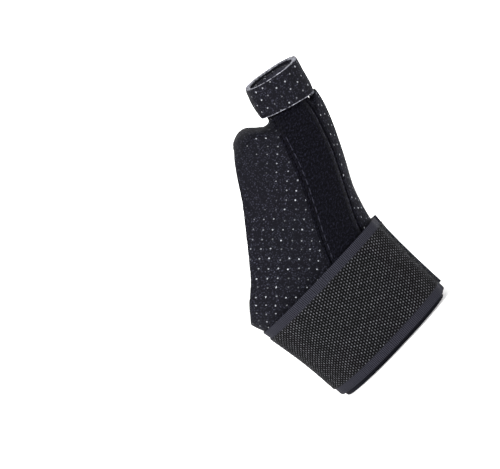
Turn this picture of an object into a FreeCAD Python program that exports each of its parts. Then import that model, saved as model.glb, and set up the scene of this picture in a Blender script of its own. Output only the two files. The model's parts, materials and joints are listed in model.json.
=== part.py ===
"""Thumb-spica wrist splint in its worn shape, standing on the forearm end of its cuff.

Millimetres. +Z runs along the forearm towards the fingers, +X towards the thumb side and +Y towards the back of
the hand, so the palm side faces -Y. The origin is the centre of the wrist opening, on the cuff's rim.

The form that the fabric hugs is two closed tubes: the hand form, from the wrist up to a rounded roof over the
thumb web, and the thumb form, which comes out of that roof. Every other piece is an offset of those two.
"""

import FreeCAD
import Part
import math
import os

# ---------------------------------------------------------------- driving dimensions
OUTER_LAYER = 1.6          # perforated outer fabric
LINING_LAYER = 0.8         # soft lining
LAYER_GAP = 0.05           # between bonded layers, so that their solids don't share volume
SEWN_GAP = 0.1             # under a piece that is sewn down

STRAP_BOTTOM = 2.5         # the cuff shows this much below the wrist strap
STRAP_WIDTH = 50.0         # two-inch elastic webbing
STRAP_THICKNESS = 2.2      # ribbed middle of the webbing
SELVEDGE_THICKNESS = 1.4   # thin woven edges of the webbing
SELVEDGE_WIDTH = 4.2
STRAP_GAP = 0.75           # strap to cuff
SEGMENT_GAP = 0.25         # between segments of a strap, at a fold line

BINDING_HEIGHT = 7.5       # folded tape round the cuff's rim
BINDING_LIFT = 0.2         # its lower edge above the rim's face
BINDING_THICKNESS = 0.45

PATCH_THICKNESS = 0.8      # hook and loop patches
PATCH_MARGIN = 3.0         # patch edge to the webbing's ribbed edge
CONTACT_GAP = 0.35         # between pieces of two bodies that lie on each other

POCKET_WIDTH = 21.0        # stay pocket, across
POCKET_NARROW = 0.8        # share of that width under the thumb band
POCKET_COVER = 0.8         # brushed loop fabric of the pocket
STAY_WIDTH = 14.0
STAY_THICKNESS = 1.2
STAY_CLEARANCE = 0.15      # stay to pocket, all round
TIP_LENGTH = 7.0           # dipped plastic tips of a stay
TIP_WALL = 0.35
POCKET_BOTTOM = 9.5
POCKET_TOP = 134.0
POCKET_HEM = 4.0           # closed lower end of a pocket, past the stay
STAY_TOP = 112.0           # the stays end below the thumb band
FLAT_POCKET_FROM = 121.0   # above this height a pocket is a single flat layer

PANEL_THICKNESS = 1.2      # panel over the thumb side, between the pockets
PANEL_TOP = 116.6
PANEL_ROUNDING = 9.0       # its rounded upper corners
THREAD = 0.5               # sewing thread, across
THREAD_GAP = 0.15          # under a stitch, which is straight on a curved face

BAND_THICKNESS = 2.3       # thumb band laminate
BAND_GAP = 0.4
RIM_DROP = 1.6             # thumb sleeve's rim below the band's upper edge

SLIT_LEFT, SLIT_RIGHT = -25.0, -15.0   # gap between the cuff's two ends, on the back of the wrist

# ---------------------------------------------------------------- the form inside the fabric
# height: thumb side x, little-finger side x, palm y, back y, all on the outside of the outer fabric
HAND_ROWS = [
    (-6.0, 32.9, -34.8, -22.6, 22.4),
    (8.0, 32.7, -36.0, -22.4, 22.2),
    (30.0, 32.7, -37.0, -22.4, 21.8),
    (46.0, 33.6, -39.4, -23.4, 21.4),
    (58.0, 35.8, -43.6, -24.8, 20.8),
    (70.0, 40.2, -45.5, -26.2, 20.2),
    (82.0, 46.8, -46.0, -26.8, 19.2),
    (94.0, 53.5, -46.0, -25.8, 17.8),
    (106.0, 59.2, -45.5, -23.6, 16.2),
    (114.0, 61.8, -45.0, -21.8, 14.8),
    (131.0, 64.5, -44.0, -18.5, 12.0),
]
THUMB_ROWS = [
    (96.0, 51.0, 27.2, -15.6, 11.6),
    (146.0, 67.2, 43.4, -22.6, 4.6),
]
HAND_ROUNDNESS = 2.35      # superellipse powers: 2 is an ellipse, more is squarer
THUMB_ROUNDNESS = 2.1

# ridge of the roof over the thumb web: x, z
RIDGE = [(-60.0, 112.0), (-30.0, 114.0), (-6.0, 118.5), (8.0, 124.0), (14.0, 127.5), (19.0, 129.6), (23.0, 130.0), (27.0, 128.2), (30.5, 124.4),
         (36.0, 122.6), (41.0, 120.8), (46.0, 118.8), (52.0, 117.2), (60.0, 116.4), (76.0, 116.0)]
RIDGE_Y = -3.5
ROOF_DEPTH = 24.5          # half the roof's span from palm to back
ROOF_HEIGHT = 27.0

FACING_SPAN = (14.2, 32.5)  # facing over the thumb web: x from and to
FACING_START = 48.0        # angle on the roof's arch where the facing starts and ends
FACING_THICKNESS = 0.8
FACING_GAP = 0.3

# free edges of the sleeve, x and z: on the palm side, and on the back of the hand
PALM_EDGE = [(-44.5, 59.5), (-43.0, 61.0), (-37.3, 67.5), (-29.2, 74.3), (-19.5, 85.0), (-9.7, 96.7), (0.0, 109.0),
             (8.0, 120.0), (13.5, 126.0)]
BACK_EDGE = [(SLIT_RIGHT, 59.5), (-12.5, 76.0), (-5.0, 96.0), (5.0, 114.0), (13.5, 126.0)]

# pocket centre line seen from the palm: z, x
POCKET_LINE = [(9.5, 10.0), (30.0, 10.4), (43.0, 12.2), (53.5, 15.4), (64.0, 20.3), (78.0, 27.8), (92.0, 35.3),
               (106.0, 40.8), (115.0, 43.9), (124.0, 47.0), (134.0, 50.6)]
POCKET_STATIONS = 16

# strap round the wrist: angles in degrees, 0 the thumb side, 90 the back, -90 the palm, -180 the little-finger side
STRAP_START = 122.0
STRAP_END = -322.0
STRAP_RAMP = (-222.0, -246.0)  # where the strap climbs onto its own sewn end
# fold lines: x of the upright plane, and the side that it is on (-1 palm, 1 back)
FOLD_THUMB_SIDE = (24.0, -1)
FOLD_PALM = (-22.0, -1)
FOLD_BACK = (-25.0, 1)

# thumb band: angles round the thumb
BAND_START = 38.0
BAND_FOLD = -216.0
BAND_END = -304.0
# a point on each edge's plane, its fall towards the thumb side and its fall towards the palm, in degrees
BAND_LOWER = ((61.9, -7.0, 117.6), 18.8, 9.0)
BAND_UPPER = ((40.1, -8.0, 142.1), 12.0, 11.0)

STITCH_CENTRE = THREAD_GAP + THREAD / 2
STAY_INNER = SEWN_GAP + 0.05 + TIP_WALL + STAY_CLEARANCE
STAY_OUTER = STAY_INNER + STAY_THICKNESS
POCKET_OUTER = STAY_OUTER + TIP_WALL + STAY_CLEARANCE + POCKET_COVER
STAY_BOTTOM = POCKET_BOTTOM + POCKET_HEM
FLAT_POCKET_OUTER = SEWN_GAP + POCKET_COVER


# ---------------------------------------------------------------- curves through rows
def smooth(rows, z, column):
    """Value of one column at height z, on a smooth curve through the rows."""
    if z <= rows[0][0]:
        return rows[0][column]
    if z >= rows[-1][0]:
        return rows[-1][column]
    i = max(k for k in range(len(rows) - 1) if rows[k][0] <= z)

    def slope(k):
        a, b = rows[max(k - 1, 0)], rows[min(k + 1, len(rows) - 1)]
        return (b[column] - a[column]) / (b[0] - a[0])

    (z0, v0), (z1, v1) = [(rows[k][0], rows[k][column]) for k in (i, i + 1)]
    h = z1 - z0
    t = (z - z0) / h
    return ((1 + 2 * t) * (1 - t) ** 2 * v0 + t * (1 - t) ** 2 * h * slope(i)
            + t * t * (3 - 2 * t) * v1 + t * t * (t - 1) * h * slope(i + 1))


def ease(value, start, end):
    """0 before start, 1 after end, smooth between."""
    t = min(1.0, max(0.0, (value - start) / (end - start)))
    return t * t * (3 - 2 * t)


def form_point(rows, roundness, z, angle, offset):
    """Point of a form at height z and angle, moved outwards by offset."""
    right, left, palm, back = [smooth(rows, z, c) for c in (1, 2, 3, 4)]
    c, s = math.cos(math.radians(angle)), math.sin(math.radians(angle))
    x = math.copysign(abs(c) ** (2 / roundness), c)
    y = math.copysign(abs(s) ** (2 / roundness), s)
    return FreeCAD.Vector((right + left) / 2 + ((right - left) / 2 + offset) * x,
                          (palm + back) / 2 + ((back - palm) / 2 + offset) * y, z)


def hand_point(z, angle, offset):
    return form_point(HAND_ROWS, HAND_ROUNDNESS, z, angle, offset)


def angle_at(rows, roundness, z, x):
    """Angle on the palm side at which the form has this x."""
    right, left = smooth(rows, z, 1), smooth(rows, z, 2)
    share = max(-0.985, min(0.985, (x - (right + left) / 2) / ((right - left) / 2)))
    return -math.degrees(math.acos(math.copysign(abs(share) ** (roundness / 2), share)))


# ---------------------------------------------------------------- solids from sections
def closed_section(points):
    curve = Part.BSplineCurve()
    curve.interpolate(points, PeriodicFlag=True)
    return Part.Wire([curve.toShape()])


def strip_section(outer, inner):
    """Closed wire of an outer curve, an inner curve and the two short sides between them."""
    def through(points):
        curve = Part.BSplineCurve()
        curve.interpolate(points)
        return curve.toShape()
    return Part.Wire([through(outer), Part.makeLine(outer[-1], inner[-1]),
                      through(inner[::-1]), Part.makeLine(inner[0], outer[0])])


def form_solid(rows, roundness, offset, bottom, top, step=8.0):
    """Solid inside a form, moved outwards by offset, between two heights."""
    count = max(2, math.ceil((top - bottom) / step))
    angles = [15.0 * k for k in range(24)]
    sections = []
    for k in range(count + 1):
        z = bottom + (top - bottom) * k / count
        sections.append(closed_section([form_point(rows, roundness, z, a, offset) for a in angles]))
    return Part.makeLoft(sections, True, False)


def spread(start, end, step):
    """Evenly spaced values from start to end, about step apart."""
    count = max(2, math.ceil(abs(end - start) / step))
    return [start + (end - start) * k / count for k in range(count + 1)]


def strip(heights, across, point, inner, outer, ruled=False):
    """Curved strip: point(z, u, offset) gives its surface, inner and outer its offsets at (z, u)."""
    sections = []
    for z in heights:
        out = [point(z, u, outer(z, u)) for u in across]
        ins = [point(z, u, inner(z, u)) for u in across]
        sections.append(strip_section(out, ins))
    return Part.makeLoft(sections, True, ruled)


def plane_side(point, slope, tilt, above, size=220.0):
    """Half space above or below a plane that falls by slope towards +X and by tilt towards -Y."""
    box = Part.makeBox(size, size, size, FreeCAD.Vector(-size / 2, -size / 2, 0 if above else -size))
    box.rotate(FreeCAD.Vector(), FreeCAD.Vector(1, 0, 0), tilt)
    box.rotate(FreeCAD.Vector(), FreeCAD.Vector(0, 1, 0), slope)
    box.translate(FreeCAD.Vector(*point))
    return box


def save(name, shape):
    solids = shape.Solids if not isinstance(shape, list) else [s for part in shape for s in part.Solids]
    whole = solids[0] if len(solids) == 1 else Part.makeCompound(solids)
    for s in solids:
        if not s.isValid() or s.Volume <= 0:
            print("BAD SOLID", name, s.isValid(), round(s.Volume, 2))
    whole.exportStep(f"parts/{name}.step")
    box = whole.optimalBoundingBox(False)
    print(f"{name:26s} solids {len(solids):2d} volume {sum(s.Volume for s in solids):9.1f}"
          f"  x {box.XMin:6.1f} {box.XMax:6.1f}  y {box.YMin:6.1f} {box.YMax:6.1f}  z {box.ZMin:6.1f} {box.ZMax:6.1f}")


# ---------------------------------------------------------------- body: outer fabric and lining
def arch_point(x, angle, offset):
    """Point of the roof; angle runs from 0 on the palm side to 180 on the back."""
    half = ROOF_DEPTH + offset
    return FreeCAD.Vector(x, RIDGE_Y - half * math.cos(math.radians(angle)),
                          smooth(RIDGE, x, 1) + offset - ROOF_HEIGHT * (1 - math.sin(math.radians(angle))))


def roof(offset):
    """Everything below the rounded roof over the thumb web, moved outwards by offset."""
    sections = []
    half = ROOF_DEPTH + offset
    for x, _ in RIDGE:
        arch = [arch_point(x, a, offset) for a in range(0, 181, 20)]
        feet = [FreeCAD.Vector(x, RIDGE_Y + half, -30), FreeCAD.Vector(x, RIDGE_Y - half, -30)]
        curve = Part.BSplineCurve()
        curve.interpolate(arch)
        sections.append(Part.Wire([curve.toShape(), Part.makeLine(arch[-1], feet[0]),
                                   Part.makeLine(*feet), Part.makeLine(feet[1], arch[0])]))
    return Part.makeLoft(sections, True, False)


def hand_block(offset):
    """Hand form below its roof."""
    return form_solid(HAND_ROWS, HAND_ROUNDNESS, offset, -6.0, 131.0).common(roof(offset))


def thumb_block(offset, bottom=97.0):
    return form_solid(THUMB_ROWS, THUMB_ROUNDNESS, offset, bottom, 145.5, 50.0)


def body_layer(outside, inside, bottom):
    """One layer of the sleeve, between two offsets, with its three openings."""
    layer = hand_block(outside).fuse(thumb_block(outside)).cut(hand_block(inside).fuse(thumb_block(inside, 96.0)))
    layer = layer.cut(Part.makeBox(160, 120, 40, FreeCAD.Vector(-80, -60, bottom - 40)))
    layer = layer.cut(above_plane(BAND_UPPER, -RIM_DROP))
    return layer.cut(palm_cutter()).cut(back_cutter()).cut(slit_cutter())


def edge_cutter(edge, corners, front, back):
    """Prism along Y beside a smooth edge through x, z points."""
    curve = Part.BSplineCurve()
    curve.interpolate([FreeCAD.Vector(x, front, z) for x, z in edge])
    sides = Part.makePolygon([FreeCAD.Vector(x, front, z) for x, z in [edge[-1]] + corners + [edge[0]]])
    face = Part.Face(Part.Wire([curve.toShape()] + sides.Edges))
    return face.extrude(FreeCAD.Vector(0, back - front, 0))


def palm_cutter():
    """What is cut away on the palm side for the palm and fingers."""
    (x0, z0), (x1, z1) = PALM_EDGE[0], PALM_EDGE[-1]
    return edge_cutter(PALM_EDGE, [(x1 - 1, 160), (-90, 160), (-90, z0)], -60, RIDGE_Y)


def back_cutter():
    """What is cut away on the back of the hand."""
    (x0, z0), (x1, z1) = BACK_EDGE[0], BACK_EDGE[-1]
    return edge_cutter(BACK_EDGE, [(x1 - 1, 160), (-90, 160), (-90, z0)], RIDGE_Y, 60)


def slit_cutter():
    """Gap between the two ends of the cuff, on the back of the wrist."""
    return Part.makeBox(SLIT_RIGHT - SLIT_LEFT, 60, 72, FreeCAD.Vector(SLIT_LEFT, 2, -10))


def above_plane(edge, lift=0.0):
    point, slope, tilt = edge
    return plane_side((point[0], point[1], point[2] + lift), slope, tilt, True)


def below_plane(edge, lift=0.0):
    point, slope, tilt = edge
    return plane_side((point[0], point[1], point[2] + lift), slope, tilt, False)


def over_plane(p, edge):
    """Distance of a point above an edge's plane."""
    point, slope, tilt = edge
    slope, tilt = math.radians(slope), math.radians(tilt)
    normal = FreeCAD.Vector(math.cos(tilt) * math.sin(slope), -math.sin(tilt), math.cos(tilt) * math.cos(slope))
    return normal.dot(p - FreeCAD.Vector(*point))


def cuff_binding():
    """Folded tape over the cuff's rim, on its outer face."""
    outer = form_solid(HAND_ROWS, HAND_ROUNDNESS, SEWN_GAP + BINDING_THICKNESS, -1.0, BINDING_HEIGHT + 1)
    ring = outer.cut(form_solid(HAND_ROWS, HAND_ROUNDNESS, SEWN_GAP, -2.0, BINDING_HEIGHT + 2))
    window = Part.makeBox(160, 120, BINDING_HEIGHT - BINDING_LIFT, FreeCAD.Vector(-80, -60, BINDING_LIFT))
    ring = ring.common(window)
    return ring.cut(slit_cutter())


def web_facing():
    """Smooth facing folded over the thumb web."""
    inner = FACING_GAP
    return strip(spread(*FACING_SPAN, 3.5), spread(FACING_START, 180 - FACING_START, 10.0), arch_point,
                 lambda x, a: inner, lambda x, a: inner + FACING_THICKNESS)


# ---------------------------------------------------------------- strips along the thumb
def pocket_narrowing(z):
    """Share of its full width that a pocket has at height z."""
    return 1 - (1 - POCKET_NARROW) * ease(z, 116.0, 125.0)


def ray_point(z, share, offset, half_width, side):
    """Point of a strip along the thumb; share runs from -1 to 1 across it. side is -1 on the palm, 1 on the back."""
    centre = smooth(POCKET_LINE, z, 1)
    narrow = pocket_narrowing(z) if half_width > 0.6 * STAY_WIDTH else 1.0
    x = centre + share * half_width * narrow / math.cos(math.radians(23))
    hand_angle = -side * angle_at(HAND_ROWS, HAND_ROUNDNESS, z, x)
    hand = form_point(HAND_ROWS, HAND_ROUNDNESS, z, hand_angle, offset)
    if z < 96.0:
        return hand
    thumb_angle = -side * angle_at(THUMB_ROWS, THUMB_ROUNDNESS, z, x)
    thumb = form_point(THUMB_ROWS, THUMB_ROUNDNESS, z, thumb_angle, offset)
    hand.y -= side * 14 * ease(z, 116.0, 128.0)
    w = ease(side * (thumb.y - hand.y), -1.5, 1.5)
    return hand * (1 - w) + thumb * w


def ray_strip(bottom, top, width, inner, outer, side, across=8, stations=POCKET_STATIONS):
    shares = [-1 + 2 * k / across for k in range(across + 1)]
    return strip(spread(bottom, top, (top - bottom) / stations), shares,
                 lambda z, u, o: ray_point(z, u, o, width / 2, side),
                 lambda z, u: inner, outer if callable(outer) else lambda z, u: outer, ruled=True)


def pocket_outer(z):
    """Offset of a pocket's outer face, which comes down to a flat layer above the stay."""
    return POCKET_OUTER + (FLAT_POCKET_OUTER - POCKET_OUTER) * ease(z, STAY_TOP + 1.6, FLAT_POCKET_FROM)


def stay(side):
    return ray_strip(STAY_BOTTOM, STAY_TOP, STAY_WIDTH, STAY_INNER, STAY_OUTER, side)


def stay_tips(side):
    """Dipped plastic tips, a sleeve over each end of the stay."""
    whole = ray_strip(STAY_BOTTOM - 1.2, STAY_TOP + 1.2, STAY_WIDTH + 2 * TIP_WALL, STAY_INNER - TIP_WALL,
                      STAY_OUTER + TIP_WALL, side)
    core = ray_strip(STAY_BOTTOM, STAY_TOP, STAY_WIDTH + 0.02, STAY_INNER - 0.01, STAY_OUTER + 0.01, side)
    middle = STAY_TOP - STAY_BOTTOM - 2 * TIP_LENGTH
    return whole.cut(core).cut(Part.makeBox(200, 200, middle, FreeCAD.Vector(-100, -100, STAY_BOTTOM + TIP_LENGTH)))


def pocket(side):
    """Loop fabric cover, sewn down on both sides and closed at both ends, with a hollow for the stay and its tips."""
    low, high = STAY_BOTTOM - 1.6, STAY_TOP + 1.6
    hollow = (STAY_WIDTH / 2 + TIP_WALL + STAY_CLEARANCE) / (POCKET_WIDTH / 2)
    sections = []
    for z in spread(low, high, (high - low) / POCKET_STATIONS):
        room = hollow / pocket_narrowing(z)
        outer = [ray_point(z, k / 4, POCKET_OUTER, POCKET_WIDTH / 2, side) for k in range(-4, 5)]
        ceiling = [ray_point(z, k / 4 * room, POCKET_OUTER - POCKET_COVER, POCKET_WIDTH / 2, side)
                   for k in range(4, -5, -1)]
        feet = [ray_point(z, share, SEWN_GAP, POCKET_WIDTH / 2, side) for share in (1.0, room, -room, -1.0)]
        curves = []
        for points in (outer, ceiling):
            curve = Part.BSplineCurve()
            curve.interpolate(points)
            curves.append(curve.toShape())
        corners = [[outer[-1], feet[0]], [feet[0], feet[1]], [feet[1], ceiling[0]],
                   [ceiling[-1], feet[2]], [feet[2], feet[3]], [feet[3], outer[0]]]
        lines = [Part.makeLine(*pair) for pair in corners]
        sections.append(Part.Wire([curves[0]] + lines[:3] + [curves[1]] + lines[3:]))
    channel = Part.makeLoft(sections, True, True)
    hems = [ray_strip(bottom, top, POCKET_WIDTH, SEWN_GAP, lambda z, u: pocket_outer(z), side, stations=stations)
            for bottom, top, stations in ((POCKET_BOTTOM, low, 2), (high, POCKET_TOP, 8))]
    return channel.fuse(hems)


def stitch(a, b):
    return Part.makeCylinder(THREAD / 2, (b - a).Length, a, b - a)


def stitch_row(point, start, end, pitch=4.2, length=2.8):
    """Straight stitches along point(t), where t runs from start to end in millimetres."""
    row = []
    t = start
    while t + length <= end:
        row.append(stitch(point(t), point(t + length)))
        t += pitch
    return row


def pocket_stitches(side):
    """One row of stitches near each long edge of a pocket, above the strap."""
    rows = []
    for share in (-0.87, 0.87):
        rows += stitch_row(lambda z: ray_point(z, share, pocket_outer(z) + STITCH_CENTRE, POCKET_WIDTH / 2, side),
                           STRAP_BOTTOM + STRAP_WIDTH + 2, STAY_TOP + 2)
    return rows


def panel_reach(z):
    """Angle from the thumb side to the panel's edge, beside the palm pocket."""
    edge = smooth(POCKET_LINE, z, 1) + (POCKET_WIDTH / 2 + 0.8) / math.cos(math.radians(23))
    return -angle_at(HAND_ROWS, HAND_ROUNDNESS, z, edge)


def thumb_side_panel():
    """Panel of the perforated fabric over the thumb side, with a rounded shoulder under the thumb band."""
    sections = []
    heights = spread(POCKET_BOTTOM, PANEL_TOP - PANEL_ROUNDING, 9.0)
    heights += [PANEL_TOP - PANEL_ROUNDING * share for share in (0.7, 0.4, 0.18, 0.05, 0.0)]
    for z in heights:
        rise = max(0.0, 1 - (PANEL_TOP - z) / PANEL_ROUNDING)
        reach = panel_reach(z) * (1 - 0.55 * (1 - math.sqrt(max(0.0, 1 - rise * rise))))
        across = spread(reach, -reach, reach / 4)
        sections.append(strip_section([hand_point(z, a, SEWN_GAP + PANEL_THICKNESS) for a in across],
                                      [hand_point(z, a, SEWN_GAP) for a in across]))
    panel = Part.makeLoft(sections, True, False)
    return panel.cut(thumb_block(BAND_GAP / 2))


# ---------------------------------------------------------------- wrist strap
def under_strap(angle):
    """How far the pockets and the thumb-side panel lift the strap off the cuff."""
    turn = abs((angle + 180) % 360 - 180)
    pockets = (POCKET_OUTER + 0.1) * ease(turn, 8, 36) * (1 - ease(turn, 100, 150))
    panel = (PANEL_THICKNESS + SEWN_GAP) * (1 - ease(turn, 45, 75))
    return max(pockets, panel)


def strap_inside(z, angle):
    """Offset of the strap's inner face: on the cuff, then on top of its own sewn end."""
    climb = STRAP_THICKNESS + 2 * PATCH_THICKNESS + 3 * CONTACT_GAP
    return STRAP_GAP + under_strap(angle) + climb * ease(-angle, -STRAP_RAMP[0], -STRAP_RAMP[1])


def strap_heights():
    """Heights of the strap's sections, with a step beside each selvedge."""
    low, high = STRAP_BOTTOM, STRAP_BOTTOM + STRAP_WIDTH
    step = 0.6
    middle = spread(low + SELVEDGE_WIDTH + step, high - SELVEDGE_WIDTH - step, 10.0)
    return [low, low + SELVEDGE_WIDTH] + middle + [high - SELVEDGE_WIDTH, high]


def strap_thickness(z):
    inset = min(z - STRAP_BOTTOM, STRAP_BOTTOM + STRAP_WIDTH - z)
    return SELVEDGE_THICKNESS if inset <= SELVEDGE_WIDTH + 1e-6 else STRAP_THICKNESS


def strap_strip(start, end, inner=strap_inside, thickness=None, heights=None):
    """Piece of webbing between two angles round the wrist."""
    across = spread(start, end, 9.0)
    return strip(heights or strap_heights(), across, hand_point, inner,
                 lambda z, a: inner(z, a) + (thickness or strap_thickness(z)), ruled=True)


def fold_side(fold, towards_thumb):
    """What one side of a fold line's plane takes off a segment, half the gap included."""
    x, side = fold
    near, far = (-SEGMENT_GAP / 2, 200.0) if towards_thumb else (-200.0, SEGMENT_GAP / 2)
    front, back = (-100.0, 0.0) if side < 0 else (0.0, 100.0)
    return Part.makeBox(far - near, back - front, 200, FreeCAD.Vector(x + near, front, -60))


def strap_sewn_end():
    return strap_strip(STRAP_START, -72.0).cut(fold_side(FOLD_THUMB_SIDE, False))


def strap_palm():
    return strap_strip(-30.0, -150.0).cut(fold_side(FOLD_THUMB_SIDE, True)).cut(fold_side(FOLD_PALM, False))


def strap_ulnar():
    return strap_strip(-96.0, -256.0).cut(fold_side(FOLD_PALM, True)).cut(fold_side(FOLD_BACK, True))


def strap_tab():
    return strap_strip(-205.0, STRAP_END).cut(fold_side(FOLD_BACK, False))


def fold_axis(fold):
    """Point of a fold line's hinge: on the outermost face of the strap along that line."""
    x, side = fold
    outermost = 0.0
    for z in strap_heights():
        for angle in [side * a / 4 for a in range(0, 721)]:
            turn = angle if side < 0 else angle - 360
            p = hand_point(z, angle, strap_inside(z, turn) + strap_thickness(z))
            if abs(p.x - x) < 0.25:
                outermost = max(outermost, side * p.y)
    return FreeCAD.Vector(x, side * (outermost + 0.05), 0)


def patch_heights():
    low = STRAP_BOTTOM + SELVEDGE_WIDTH + PATCH_MARGIN
    return spread(low, STRAP_BOTTOM + STRAP_WIDTH - SELVEDGE_WIDTH - PATCH_MARGIN, 10.0)


def strap_loop_patch():
    """Loop patch on the outside of the strap's sewn end."""
    return strap_strip(STRAP_START - 6, 360 + STRAP_END + 2, heights=patch_heights(), thickness=PATCH_THICKNESS,
                       inner=lambda z, a: STRAP_GAP + under_strap(a) + STRAP_THICKNESS + SEWN_GAP)


def strap_hook_patch():
    """Hook patch on the inside of the strap's free end."""
    return strap_strip(-250.0, STRAP_END + 4, heights=patch_heights(), thickness=PATCH_THICKNESS,
                       inner=lambda z, a: strap_inside(z, a) - SEWN_GAP - PATCH_THICKNESS)


def strap_end_tape():
    """Folded tape that binds the strap's free end."""
    heights = spread(STRAP_BOTTOM + 1.0, STRAP_BOTTOM + STRAP_WIDTH - 1.0, 10.0)
    return strap_strip(STRAP_END - 0.3, STRAP_END - 9.0, heights=heights, thickness=STRAP_THICKNESS + 0.3)


def strap_stitch_box(start, end, offset):
    """Rectangle of stitches on a face of the strap; offset(angle) is that face."""
    low, high = STRAP_BOTTOM + SELVEDGE_WIDTH + 1.2, STRAP_BOTTOM + STRAP_WIDTH - SELVEDGE_WIDTH - 1.2
    rows = []
    for angle in (start, end):
        rows += stitch_row(lambda z: hand_point(z, angle, offset(angle)), low, high)
    per_degree = math.radians(1) * 30.0
    sense = 1 if end > start else -1
    for z in (low - 0.8, high + 0.8):
        rows += stitch_row(lambda t: hand_point(z, start + sense * t / per_degree,
                                                offset(start + sense * t / per_degree)),
                           1.0, abs(end - start) * per_degree - 0.6)
    return rows


# ---------------------------------------------------------------- thumb band
def band_inside(z, angle):
    """The band clears the thumb sleeve at the sides, and the pockets on palm and back."""
    side = abs(math.sin(math.radians(angle)))
    hook = (PATCH_THICKNESS + CONTACT_GAP) * ease(-angle, -BAND_FOLD + 2, -BAND_FOLD + 30)
    return BAND_GAP + FLAT_POCKET_OUTER * ease(side, 0.1, 0.6) + hook


def band_strip(start, end, inner=band_inside, thickness=BAND_THICKNESS, inset=0.0, low=104.0, high=160.0):
    """Band between two angles round the thumb, trimmed at its two slanted edges."""
    across = spread(start, end, 8.0)
    ring = strip([low, high], across, band_point, inner, lambda z, a: inner(z, a) + thickness, ruled=True)
    return ring.cut(below_plane(BAND_LOWER, inset)).cut(above_plane(BAND_UPPER, -inset))


def band_point(z, angle, offset):
    """The thumb form, carried on in straight lines past both its ends."""
    (low, *_), (high, *_) = THUMB_ROWS
    a, b = [form_point(THUMB_ROWS, THUMB_ROUNDNESS, level, angle, offset) for level in (low, high)]
    return a + (b - a) * ((z - low) / (high - low))


def band_gap_angle():
    return math.degrees(SEGMENT_GAP / 2 / 17.0)


def band_hook_patch():
    """Hook patch on the inside of the band's free end."""
    return band_strip(BAND_FOLD - 30, BAND_END + 4, thickness=PATCH_THICKNESS, inset=2.5,
                      inner=lambda z, a: band_inside(z, a) - SEWN_GAP - PATCH_THICKNESS)


def band_stitches(angle, offset):
    """Row of stitches across the band at one angle."""
    rows = stitch_row(lambda z: band_point(z, angle, offset), 100.0, 160.0)
    return [s for s in rows if over_plane(s.BoundBox.Center, BAND_LOWER) > 2.5
            and over_plane(s.BoundBox.Center, BAND_UPPER) < -2.5]


def build():
    os.makedirs("parts", exist_ok=True)
    sleeve = body_layer(0.0, -OUTER_LAYER, 0.0)
    save("outer_sleeve", sleeve)
    lining_outside = -OUTER_LAYER - LAYER_GAP
    save("lining", body_layer(lining_outside, lining_outside - LINING_LAYER, 0.6))
    save("cuff_binding", cuff_binding())
    save("web_facing", web_facing())
    for side, name in ((-1, "palm"), (1, "back")):
        save(f"{name}_stay_pocket", pocket(side))
        save(f"{name}_pocket_stitches", pocket_stitches(side))
        save(f"{name}_stay", stay(side))
        save(f"{name}_stay_tips", stay_tips(side))
    save("thumb_side_panel", thumb_side_panel())

    save("strap_sewn_end", strap_sewn_end())
    save("strap_palm", strap_palm())
    save("strap_ulnar", strap_ulnar())
    save("strap_tab", strap_tab())
    save("strap_loop_patch", strap_loop_patch())
    save("strap_hook_patch", strap_hook_patch())
    save("strap_end_tape", strap_end_tape())
    outside = STRAP_THICKNESS + STITCH_CENTRE
    save("strap_anchor_stitches",
         strap_stitch_box(12.0, -12.0, lambda a: STRAP_GAP + under_strap(a) + outside))
    save("strap_patch_stitches",
         strap_stitch_box(-252.0, STRAP_END + 6, lambda a: strap_inside(0, a) + outside))

    gap = band_gap_angle()
    save("band_sewn_end", band_strip(BAND_START, BAND_FOLD + gap))
    save("band_tab", band_strip(BAND_FOLD - gap, BAND_END))
    save("band_hook_patch", band_hook_patch())
    for name, angle in (("band_anchor_stitches", 30.0), ("band_tab_stitches", BAND_END + 8)):
        save(name, band_stitches(angle, band_inside(0, angle) + BAND_THICKNESS + STITCH_CENTRE))

    for name, fold in (("thumb side", FOLD_THUMB_SIDE), ("palm", FOLD_PALM), ("back", FOLD_BACK)):
        print("strap fold,", name, [round(v, 2) for v in fold_axis(fold)])
    p, q = [band_point(z, BAND_FOLD, band_inside(0, BAND_FOLD) + BAND_THICKNESS + 0.05) for z in (130.0, 140.0)]
    print("band fold", [round(v, 2) for v in p], [round(v, 4) for v in (q - p).normalize()])


build()
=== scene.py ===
import json
from math import cos, pi, radians, sin

import bpy
import numpy as np
from mathutils import Matrix, Vector, noise
from mathutils.bvhtree import BVHTree


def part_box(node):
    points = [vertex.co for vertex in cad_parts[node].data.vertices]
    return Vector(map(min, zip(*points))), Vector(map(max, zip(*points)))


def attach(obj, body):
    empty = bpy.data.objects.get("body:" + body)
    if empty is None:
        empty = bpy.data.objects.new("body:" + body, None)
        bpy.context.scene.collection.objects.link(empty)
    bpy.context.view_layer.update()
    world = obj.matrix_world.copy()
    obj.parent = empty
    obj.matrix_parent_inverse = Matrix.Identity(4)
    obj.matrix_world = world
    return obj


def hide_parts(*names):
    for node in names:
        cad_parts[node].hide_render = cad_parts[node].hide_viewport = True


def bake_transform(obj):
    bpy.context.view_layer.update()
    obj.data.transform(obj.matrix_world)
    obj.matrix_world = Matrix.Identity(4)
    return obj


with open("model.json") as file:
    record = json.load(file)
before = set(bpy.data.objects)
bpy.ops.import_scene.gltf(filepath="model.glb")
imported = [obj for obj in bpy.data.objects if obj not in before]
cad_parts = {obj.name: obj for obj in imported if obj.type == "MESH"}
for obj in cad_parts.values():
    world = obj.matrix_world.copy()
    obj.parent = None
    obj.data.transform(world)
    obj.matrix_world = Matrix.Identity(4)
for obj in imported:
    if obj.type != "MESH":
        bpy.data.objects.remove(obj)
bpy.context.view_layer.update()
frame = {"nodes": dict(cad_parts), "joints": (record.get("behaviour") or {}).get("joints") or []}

mm = 0.001


# finding the CAD surfaces

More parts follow.
